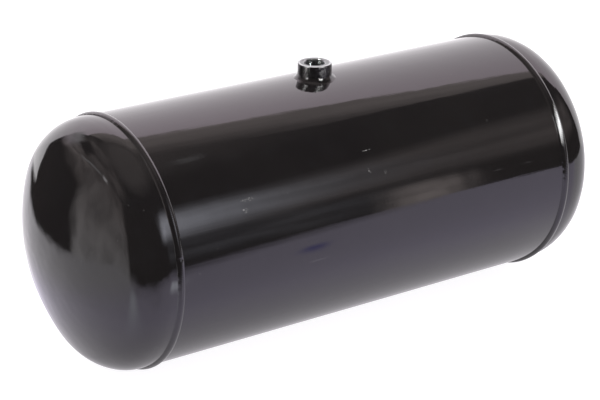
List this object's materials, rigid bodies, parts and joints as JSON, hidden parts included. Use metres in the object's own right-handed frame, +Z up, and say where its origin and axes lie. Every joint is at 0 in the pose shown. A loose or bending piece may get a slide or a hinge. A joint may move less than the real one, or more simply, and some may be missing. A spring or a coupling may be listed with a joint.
{
  "type": "air receiver tank",
  "caption": "Horizontal steel compressed-air receiver: rolled shell with dished heads welded on, a threaded boss on top and a low drain boss underneath.",
  "frame": {"origin": "on the tank's axis, halfway between the two girth welds", "axes": "+X along the tank's axis towards the right head, +Z up through the top port, +Y towards the side with the data plate"},
  "size_m": [0.6082, 0.2514, 0.2637],
  "materials": {
    "black_paint": "smooth gloss black top coat on pressed and rolled steel",
    "painted_weld": "gloss black paint over a rippled weld bead",
    "machined_steel": "turned steel, bare on the rim and in the thread, black paint on the side",
    "raw_steel": "uncoated mill finish",
    "plate_aluminium": "fine brushed, blank",
    "adhesive": "matte acrylic foam"
  },
  "bodies": {
    "root": {"shell": "black_paint", "shell_seam_weld": "painted_weld", "left_head": "black_paint", "right_head": "black_paint", "left_girth_weld": "painted_weld", "right_girth_weld": "painted_weld", "left_backing_ring": "raw_steel", "right_backing_ring": "raw_steel", "top_port_boss": "machined_steel", "top_port_weld": "painted_weld", "drain_boss": "machined_steel", "drain_boss_weld": "painted_weld", "data_plate": "plate_aluminium", "data_plate_adhesive": "adhesive"}
  },
  "joints": []
}
